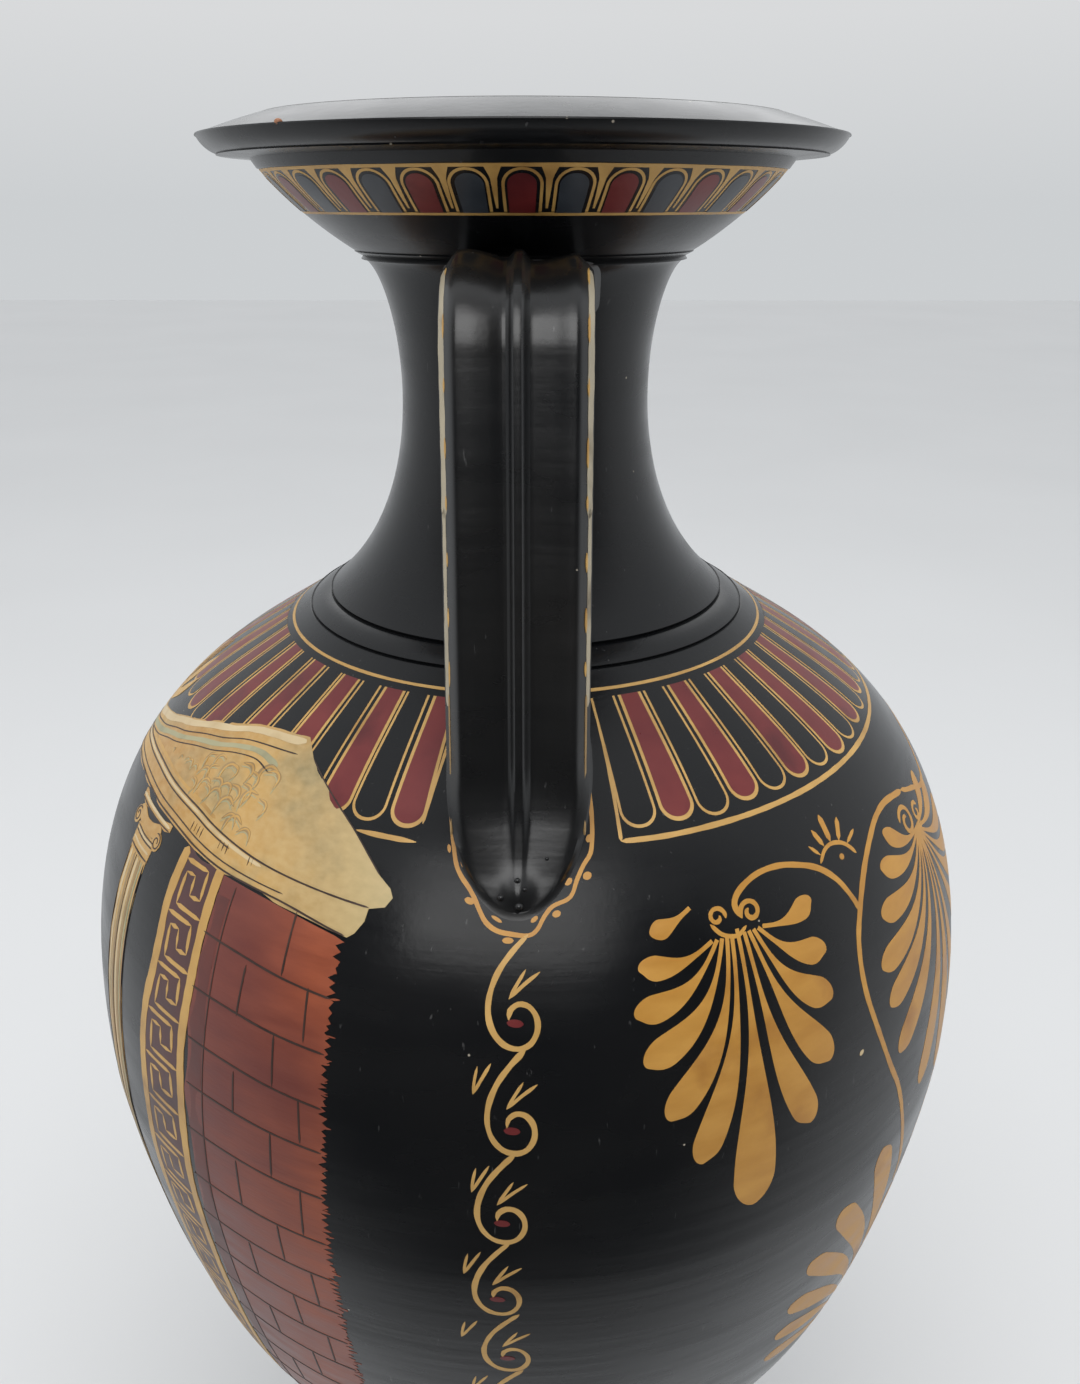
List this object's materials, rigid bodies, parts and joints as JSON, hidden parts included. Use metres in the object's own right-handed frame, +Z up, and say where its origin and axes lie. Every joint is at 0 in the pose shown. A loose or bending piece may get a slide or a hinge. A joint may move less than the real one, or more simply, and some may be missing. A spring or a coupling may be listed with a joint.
{
  "type": "amphora",
  "caption": "Tall black-glazed ceramic neck amphora with a wide flat lip, ribbed strap handles from neck to shoulder, an ovoid body and a spreading foot, painted in red and ochre slip.",
  "frame": {"origin": "centre of the foot's resting ring, on the surface that the vessel stands on", "axes": "+Z up along the vessel's axis; X through the two handles; -Y is the side with the painted temple, +Y the side with the palmettes"},
  "size_m": [0.4, 0.4, 0.7651],
  "materials": {
    "black_glaze": "semi-gloss black slip glaze",
    "bare_clay": "unglazed terracotta",
    "ochre_slip": "painted ochre slip, satin",
    "orange_slip": "painted orange slip, satin",
    "red_slip": "painted dark red slip, satin",
    "brick_slip": "brushed brick-red slip, satin",
    "stone_slip": "brushed cream and sand slip, satin"
  },
  "bodies": {
    "root": {"lip_ring": "black_glaze", "mouth_bowl": "black_glaze", "neck": "black_glaze", "neck_collar": "black_glaze", "shoulder": "black_glaze", "lower_body": "black_glaze", "foot_bead": "black_glaze", "foot": "black_glaze", "neck_seam_coil": "bare_clay", "belly_seam_coil": "bare_clay", "handle_right": "black_glaze", "handle_left": "black_glaze", "neck_pad_right": "black_glaze", "neck_pad_left": "black_glaze", "root_pad_right": "black_glaze", "root_pad_left": "black_glaze"}
  },
  "joints": []
}
